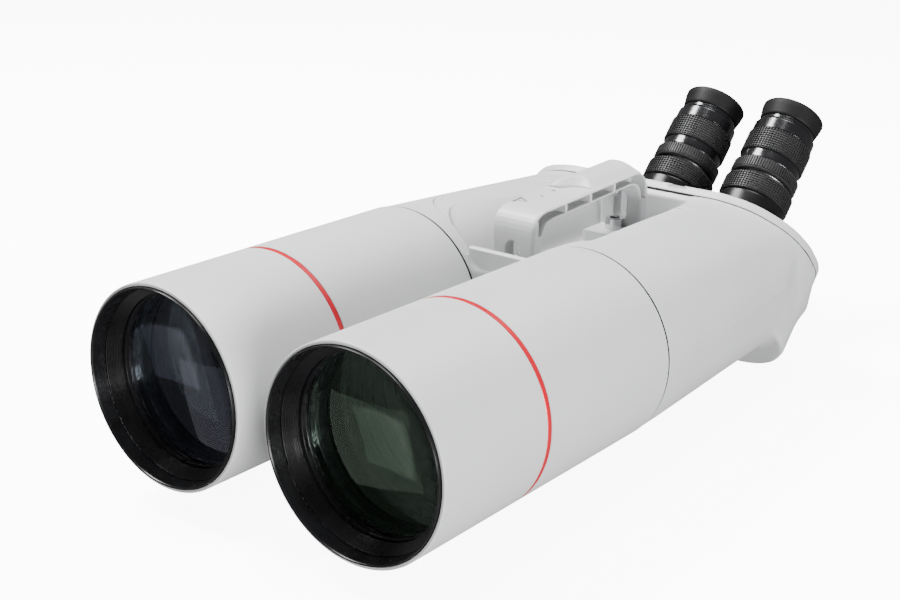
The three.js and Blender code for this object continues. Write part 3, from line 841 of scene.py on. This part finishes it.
def pocket_field(x, y, z, arch):
    """The hollows in both sides of the handle's bar, with ribs between them."""
    web_half, rim, low_z = 4.5, 1.4, 50
    pocket = smooth_max(arch + rim, web_half - np.abs(x), 0.6)
    pocket = np.maximum(pocket, np.maximum(low_z - z, np.maximum(232 - y, y - 357)))
    for rib in HANDLE_RIBS:
        pocket = np.maximum(pocket, 1.0 - np.abs(y - rib))
    return np.where(z > low_z, pocket, FAR)


def handle_field(x, y, z):
    arch = outline_field(y, z, HANDLE_OUTLINE)
    body = smooth_max(arch - 0.3, np.abs(x) - HANDLE_HALF, 3.2)
    body = smooth_min(body, crown_field(x, y, z), 0.4)
    body = smooth_max(body, -pocket_field(x, y, z, arch), 0.8)
    front_slot = np.maximum(slot_field(x, z, 28.5, 46, 5), y - 240)
    rear_slot = np.maximum(slot_field(x, z, 33.5, 54, 5), 346 - y)
    body = smooth_max(body, -np.minimum(front_slot, rear_slot), 1.0)
    for screw in HANDLE_SCREWS:
        body = np.maximum(body, -np.maximum(np.hypot(x, y - screw) - SCREW_HOLE_R, z - 34))
    # A sunk triangle and two small dents, in the top near the front.
    triangle = outline_field(x, y, [(-15, 243), (-4, 249.5), (-15, 256)])
    sunk = np.maximum(triangle, -(arch + 1.8))
    for hole_x, hole_y in ((-4.6, 264.6), (-5.5, 279)):
        hole = np.hypot((x - hole_x) / 1.5, y - hole_y) - 1.2
        sunk = np.minimum(sunk, np.maximum(hole, -(arch + 4)))
    return smooth_max(body, -np.where(z > 60, sunk, FAR), 0.3)


cast(
    "handle_casting", handle_field, (-19, 224, 15), (19, 364, 80), 0.65, to_part,
    WHITE, "chassis", "carry_handle", most_faces=150000,
)


# ---- mounting foot ----
def foot_field(x, y, z):
    """The dovetail bar, with counterbored and threaded holes and two grooves beneath."""
    up = z - FOOT_FACE
    sides = (np.abs(x) - FOOT_HALF + up * FOOT_TAPER / FOOT_THICK) * 0.94
    bar = smooth_max(sides, np.abs(up - FOOT_THICK / 2) - FOOT_THICK / 2, 1.2)
    bar = smooth_max(bar, np.abs(y - FOOT_MIDDLE) - FOOT_LENGTH / 2, 1.2)
    for place in FOOT_SCREWS:
        bore = np.hypot(x, y - place)
        seat = np.maximum(bore - 7, up - 9)
        bar = smooth_max(bar, -np.minimum(seat, bore - SCREW_HOLE_R), 0.5)
    for place in FOOT_THREADS:
        bar = smooth_max(bar, -(np.hypot(x, y - place) - 4), 0.8)
    for edge in (-1, 1):
        groove = np.hypot(x - edge * 14, up + 0.6) - 1.2
        bar = smooth_max(bar, -groove, 0.3)
    return bar


cast(
    "foot_bar", foot_field, (-32, 162, FOOT_FACE - 2), (32, 348, FOOT_FACE + 17), 0.9, to_part,
    BLACK, "chassis", "mounting_foot", most_faces=90000,
)


# ---- screws ----
def cap_screw(name, place, head_r, head_h, hex_r, shank_r, shank, body, cad=None, steps=96):
    """A socket head cap screw: knurled head, hexagon socket, washer face and shank. Each row is
    a radius, the same all round or one for each angle, and its height above the washer face."""
    angles = full_turn(steps)
    sixth = math.pi / 3
    hexagon = hex_r * math.cos(math.pi / 6) / np.cos((angles + math.pi / 6) % sixth - math.pi / 6)
    knurl = head_r - 0.09 * (np.arange(steps) % 2)
    rows = [
        (shank_r * 0.8, -shank), (shank_r, -shank + 0.8), (shank_r, 0), (head_r - 0.3, 0),
        (head_r, 0.25), (head_r, 0.8), (knurl, 1.1), (knurl, head_h - 1.2), (head_r, head_h - 0.9),
        (head_r, head_h - 0.6), (head_r - 0.25, head_h - 0.18), (head_r - 0.7, head_h),
        (hexagon + 0.55, head_h), (hexagon + 0.1, head_h - 0.25), (hexagon, head_h - 0.7),
        (hexagon, head_h * 0.45), (hexagon * 0.5, head_h * 0.38),
    ]
    rings = [placed_at(place, r * np.cos(angles), y, r * np.sin(angles)) for r, y in rows]
    faces = capped_faces(len(rows), steps)
    mesh_piece(name, np.concatenate(rings), faces, CHROME, body, cad, smooth=30)


M8 = {"head_r": 6.2, "head_h": 8, "hex_r": 3.45, "shank_r": 4}
M3 = {"head_r": 2.7, "head_h": 1.3, "hex_r": 1.3, "shank_r": 1.5}
FOOT_SEAT = FOOT_FACE + 8.7
ENDS = ("front", "rear")
for where, y in zip(ENDS, HANDLE_SCREWS):
    cap_screw(
        f"handle_bolt_{where}", upright_place(y, HANDLE_FEET_TOP + 0.3), **M8, shank=22,
        body="chassis", cad=f"handle_screw_{where}",
    )
for where, y in zip(ENDS, FOOT_SCREWS):
    cap_screw(
        f"foot_bolt_{where}", lambda x, t, z, y=y: to_part(x, y + z, FOOT_SEAT - t), **M8,
        shank=20, body="chassis", cad=f"foot_screw_{where}",
    )


# The rear cover's small screws stand round its edge, at (x, w) and the same on the other half.
COVER_HALF = [(58, 50), (100, 22), (103, -18), (84, -50), (42, -56)]
COVER_SCREWS = [(0, 48)] + COVER_HALF + [(-x, w) for x, w in COVER_HALF]
for i, (x, w) in enumerate(COVER_SCREWS):
    cap_screw(
        f"cover_bolt_{i + 1}",
        lambda a, t, b, x=x, w=w: slanted_part(x + a, COVER_THICK - 0.1 + t, w + b),
        **M3, shank=4, body="chassis", steps=48,
    )


# ---- one tube ----
def frame_band(side, spare=0.35):
    """Where the red ring starts and ends along the tube, a little wider than its CAD node."""
    low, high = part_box(f"{side}_red_band")
    return (low.y - shield_low.y) / MM - spare, (high.y - shield_low.y) / MM + spare


def retaining_ring(name, place, slot_angle, cad, steps=240):
    """The ring that holds the lenses, with two slots across it for a spanner."""
    slot_half, slot_floor = 0.026, 18.6  # radians, mm
    angles = full_turn(steps)
    turn = np.abs((angles - slot_angle + math.pi / 2) % math.pi - math.pi / 2)
    corners = [(49.7, 17.5), (50.2, 17.25), (51.5, 17.25), (51.5, 20.3), (49.7, 20.3)]
    profile = soften(corners, 0.2, True)
    rings = []
    for r, y in profile:
        depth = np.where((turn < slot_half) & (y < slot_floor), slot_floor, y)
        rings.append(placed_at(place, r * np.cos(angles), depth, r * np.sin(angles)))
    along = np.repeat([y for _, y in profile], steps)
    faces = loop_faces(len(profile), steps, True)
    mesh_piece(
        name, np.concatenate(rings), faces, BLACK, "chassis", cad, along,
    )


def ribbed_cone(ribs=9):
    """The profile of the cone in front of the lenses, with sharp ribs against stray light."""
    back_r, flare = 50.9, 4.1
    front_y, depth = 8.1, 6.7
    cone = [(55, 7.9), (56.1, 7.9), (56.1, 15.0), (50.7, 15.0)]
    for i in range(ribs):
        t0, t1 = 1 - i / ribs, 1 - (i + 0.55) / ribs
        r0, r1 = back_r + flare * (1 - t0), back_r + flare * (1 - t1)
        cone += [(r0, front_y + depth * t0, 0.05)]
        cone += [(r0 + 0.65, front_y + depth * (t0 - 0.2 / ribs), 0.05)]
        cone += [(r1 + 0.65, front_y + depth * t1, 0.05)]
    return cone


def add_tube(side, sign):
    place = tube_place(sign)
    shield, chassis = f"{side}_shield", "chassis"
    low, high = frame_band(side)
    turned(f"{side}_shield_tube", [
        (58, 0.2), (TUBE_R - 0.5, 0.2, 0.3), (TUBE_R, 0.7, 0.3), (TUBE_R, low - 0.15, 0.15),
        (TUBE_R - 1, low - 0.15, 0.1), (TUBE_R - 1, high + 0.15, 0.1), (TUBE_R, high + 0.15, 0.15),
        (TUBE_R, SHIELD_LENGTH - 0.7, 0.25), (57.4, SHIELD_LENGTH - 0.7), (57.4, 7.8), (58, 7.8),
    ], place, WHITE, shield, f"{side}_dew_shield", steps=224)
    # The ring's chamfers take the paler red: a painted highlight on its edges.
    turned(f"{side}_accent_ring", [
        (TUBE_R - 0.8, low + 0.05), (TUBE_R - 0.45, low + 0.05, 0), (TUBE_R - 0.05, low + 0.4, 0),
        (TUBE_R - 0.05, high - 0.4, 0), (TUBE_R - 0.45, high - 0.05, 0), (TUBE_R - 0.8, high - 0.05),
    ], place, [RED, RED_EDGE_HIGHLIGHT], shield, f"{side}_red_band", steps=224,
        pale=lambda a, b: min(a[0], b[0]) > TUBE_R - 0.7 and abs(a[0] - b[0]) > 0.1)
    turned(f"{side}_lip", [
        (57.7, 7.4), (57.7, -0.1), (57.35, -1.4, 0.5), (56.6, -1.45, 0.5), (56.1, -0.4), (55.4, 7.4),
    ], place, BLACK, shield, f"{side}_front_ring", radius=0.35, steps=192)
    threads = []
    for y in range(112, 48, -6):
        threads += [(53.6, y + 1.2, 0.1), (52.6, y + 0.8, 0.1), (52.6, y + 0.4, 0.1), (53.6, y, 0.1)]
    turned(f"{side}_inner_tube", [
        (53.6, 30.2), (56.2, 30.2), (56.2, 212.5), (44, 212.5), (44, 209), (53.6, 209), *threads,
    ], place, MATTE, chassis, f"{side}_main_tube")
    # A near-black ring in the gap between the dew shield and the housing: painted shade that darkens the
    # seam.
    turned(f"{side}_shield_seam_shade", [
        (56.9, SHIELD_LENGTH - 0.6), (59.65, SHIELD_LENGTH - 0.6), (59.65, HOUSING_FRONT + 0.45),
        (56.9, HOUSING_FRONT + 0.45),
    ], place, MATTE, chassis, radius=0.1, steps=192)
    turned(f"{side}_felt_guide", [
        (56.4, 40, 0.2), (57.2, 40.2), (57.2, 55.8), (56.4, 56),
    ], place, FELT, chassis, f"{side}_guide_ring")
    turned(f"{side}_cell", [
        (51.8, 15.5), (56.2, 15.5), (56.2, 29.6), (53.3, 29.6), (53.3, 46), (50, 46), (50, 38.2),
        (51.8, 38.2),
    ], place, BLACK, chassis, f"{side}_lens_cell")
    turned(f"{side}_ribbed_cone", ribbed_cone(), place, BLACK, chassis,
           f"{side}_cell_front_ring", radius=0.15, steps=192)
    retaining_ring(f"{side}_lens_retainer", place, math.radians(SPANNER_SLOT[side]),
                   f"{side}_retaining_ring")
    lens_piece(f"{side}_front_lens", 51.5, 20.7, 4, 25.2, 5.5, place, FRONT_GLASS[side], chassis,
               f"{side}_crown_lens")
    lens_piece(f"{side}_second_lens", 51.5, 26.8, -5.4, 37.7, 1.5, place, PRISM_GLASS, chassis,
               f"{side}_flint_lens")
    turned(f"{side}_spacer", [(50, 25.55), (51.4, 25.55), (51.4, 26.45), (50, 26.45)],
           place, BLACK, chassis, f"{side}_lens_spacer", radius=0.1)
    turned(f"{side}_stop", [
        (42, 118.9, 0.1), (43, 118, 0.2), (53.2, 118), (53.2, 120.4), (43, 120.4, 0.2), (42, 119.4, 0.1),
    ], place, MATTE, chassis, f"{side}_light_baffle", radius=0.2)


# ---- one turret and eyepiece ----
def turret_outline(sign, inset, lean, count=96):
    """Points round the turret's two circles. lean makes the one on its own axis smaller."""
    across = np.array([sign * (EYE_X - TUBE_X), EYE_W - TURRET_W])
    circles = [(np.zeros(2), TURRET_R - inset - lean), (across, TURRET_EYE_R - inset)]
    way = directions(count)
    reach = np.stack([way @ c + r for c, r in circles], -1)
    pick = reach.argmax(-1)
    centres = np.array([c for c, _ in circles])[pick]
    radii = np.array([r for _, r in circles])[pick]
    return centres + way * radii[:, None]


def add_turret(side, sign):
    """The shell, whose outer end slopes down, and the boss that turns in the cover's hole."""
    place = turret_place(sign)
    base, slope = COVER_THICK + 0.5, 11
    levels = [(base, 1.0), (base + 0.5, 0.3), (base + 1.0, 0.1), (base + 3, 0), (TURRET_TOP - 3.4, 0)]
    levels += [(TURRET_TOP - 3.2 + 3.1 * math.sin(a), 3.1 * (1 - math.cos(a)))
               for a in np.linspace(0, math.pi / 2, 7)]
    rings = []
    for v, inset in levels:
        spots = turret_outline(sign, inset + 0.1, slope * (v - base) / (TURRET_TOP - base))
        rings.append(placed_at(place, spots[:, 0], v, spots[:, 1]))
    faces = capped_faces(len(rings), len(rings[0]))
    mesh_piece(
        f"{side}_turret_shell", np.concatenate(rings), faces, BLACK,
        f"{side}_turret", f"{side}_turret_housing",
    )
    turned(f"{side}_turret_boss", [
        (10, -8.9), (BOSS_R, -8.9), (BOSS_R, base + 0.4), (10, base + 0.4),
    ], place, ALLOY, f"{side}_turret")


def add_eyepiece(side, sign):
    place = eye_place(sign)
    turret, draw, eyepiece = f"{side}_turret", f"{side}_draw", f"{side}_eyepiece"
    turned(f"{side}_focuser_flange", [
        (18.7, 26.4), (24.8, 26.4), (25.7, 27.4, 0.8), (25.9, 48.6, 0.5), (25.9, 50.6, 1.2),
        (24.6, 51.6, 0.6), (21.4, 51.6, 0.1), (21.4, 66.5), (18.7, 66.5),
    ], place, BLACK, turret, f"{side}_focuser_base", radius=0.4)
    banded(f"{side}_focus_grip", [(21.8, 52.15), (25.3, 52.15), (26.1, 52.6)],
           (26.7, 52.9, 65.7), [(26.2, 66.3), (25.5, 66.9), (21.8, 66.9)],
           72, 1.0, place, RUBBER, f"{side}_focus", f"{side}_focus_ring", rows=7)
    turned(f"{side}_draw_sleeve", [
        (16.1, 34.1), (18.3, 34.1), (18.3, 70), (20.5, 70), (20.5, 79.9), (16.1, 79.9),
    ], place, ALLOY, draw, f"{side}_drawtube")
    banded(f"{side}_clamp_grip", [(20.9, 70.5), (24.0, 70.5), (24.8, 71.3)],
           (25.6, 71.9, 80.0), [(24.9, 80.2), (20.9, 80.2)],
           80, 0.9, place, RUBBER, f"{side}_clamp", f"{side}_clamp_ring")
    turned(f"{side}_eyepiece_barrel", [
        (14, 45.1), (15.6, 45.1), (15.7, 80.9, 0.1), (23.0, 80.9, 0.5), (23.3, 82.4, 0.8),
        (23.3, 88.2, 0.4), (21.2, 88.2, 0.1), (21.2, 107.3, 0.1), (23.8, 107.3, 0.3),
        (23.6, 115.9, 0.3), (21.9, 118.1, 0.3), (21.2, 118.5, 0.1), (21.2, 121, 0.3),
        (17.6, 121, 0.1), (17.6, 128.9), (15.6, 128.9), (15.6, 121.7), (14, 121.7),
    ], place, GLOSS, eyepiece, f"{side}_eyepiece_body", radius=0.3)
    banded(f"{side}_grip_sleeve", [(21.5, 88.7), (24.0, 88.7), (24.4, 88.9)],
           (24.8, 89.1, 106.4), [(24.4, 106.6), (24.0, 106.8), (21.5, 106.8)],
           68, 1.0, place, RUBBER, eyepiece, f"{side}_eyepiece_grip", rows=9)
    lens_piece(f"{side}_field_glass", 13.7, 60, 1.6, 63, 2, place, EYE_GLASS, eyepiece,
               f"{side}_field_lens")
    lens_piece(f"{side}_eye_glass", 15.3, 121.9, -1, 126.5, 1.6, place, EYE_GLASS, eyepiece,
               f"{side}_eye_lens")
    turned(f"{side}_eyecup_rubber", [
        (18, 121.5), (21.6, 121.5, 0.5), (22.2, 122.6, 1.0), (23.8, 131.0, 3), (23.95, 133.9, 0.8),
        (23.1, 134.5, 0.4), (22.0, 134.3, 0.6), (19.7, 130.4, 1.0), (18, 129.5),
    ], place, CUP_RUBBER, f"{side}_cup", f"{side}_eyecup", radius=0.3)


# The CAD nodes whose own shapes are kept.
KEPT_NODES = {
    "prism_holder": ALLOY, "ipd_gear": ALLOY, "roof_prism": PRISM_GLASS, "rhomboid_prism": PRISM_GLASS,
}
for side, sign in SIDES.items():
    add_tube(side, sign)
    add_turret(side, sign)
    add_eyepiece(side, sign)
    for name, material in KEPT_NODES.items():
        mesh = frame["nodes"][f"{side}_{name}"].data
        mesh.materials.clear()
        mesh.materials.append(material)


# ---- floor, light and camera ----
def add_floor():
    """A pale ground that only the camera sees: it throws no light on the object."""
    size = 6.0
    corners = [(-size, -size, 0), (size, -size, 0), (size, size, 0), (-size, size, 0)]
    mesh = bpy.data.meshes.new("floor")
    mesh.from_pydata(corners, [], [(0, 1, 2, 3)])
    mesh.materials.append(surface(
        "pale_floor", (0.83, 0.83, 0.83), (0.86, 0.86, 0.86), (0.6, 0.7), patch=2, grain=40, depth=0.0001,
        Emission_Color=(1, 1, 1, 1), Emission_Strength=9.0,
    ))
    floor = new_object("floor", mesh)
    floor.visible_diffuse = False
    floor.visible_glossy = False
    floor.visible_transmission = False
    floor.visible_shadow = False


def add_light(name, place, target, size, power):
    """A soft rectangular lamp at place, pointing at target. Sizes in metres, power in watts."""
    lamp = bpy.data.lights.new(name, "AREA")
    lamp.shape = "RECTANGLE"
    lamp.size, lamp.size_y = size
    lamp.energy = power
    holder = new_object(name, lamp)
    holder.location = place
    holder.rotation_euler = (Vector(target) - Vector(place)).to_track_quat("-Z", "Y").to_euler()


def add_camera():
    """Looks down the tubes from the front left, at the photograph's angle."""
    azimuth, elevation, roll = (math.radians(a) for a in (36.59, 19.22, 1.01))
    forward = Vector((-math.sin(azimuth) * math.cos(elevation),
                      math.cos(azimuth) * math.cos(elevation), -math.sin(elevation)))
    level = Vector((math.cos(azimuth), math.sin(azimuth), 0))
    upward = level.cross(forward)
    right = level * math.cos(roll) + upward * math.sin(roll)
    upward = right.cross(forward)
    camera = bpy.data.cameras.new("camera")
    camera.lens = 60.26
    camera.sensor_width = 36
    camera.shift_x, camera.shift_y = -0.0556, 0.0111
    camera.clip_start = 0.02
    holder = new_object("camera", camera)
    turn = Matrix((right, upward, -forward)).transposed()
    holder.matrix_world = Matrix.Translation((0.5312, -0.7552, 0.3912)) @ turn.to_4x4()
    bpy.context.scene.camera = holder


def add_world():
    world = bpy.data.worlds.new("studio")
    world.use_nodes = True
    back = world.node_tree.nodes["Background"]
    back.inputs["Color"].default_value = (1, 1, 1, 1)
    back.inputs["Strength"].default_value = 0.22
    bpy.context.scene.world = world


add_floor()
add_world()
add_light("key", (-1.0, -0.35, 1.7), (0, 0, 0.1), (0.9, 0.7), 118)
add_light("fill", (1.7, -0.8, 0.08), (0, 0, 0.1), (1.2, 0.45), 76)
add_light("top", (0.2, 0.5, 1.9), (0, 0.1, 0.1), (0.9, 1.0), 50)
add_light("bounce", (1.1, -0.9, -0.55), (0, 0, 0.08), (1.5, 1.2), 12)
add_light("card", (-0.54, -0.9, -0.33), (0.065, -0.21, 0.08), (0.42, 0.30), 0.5)
add_camera()
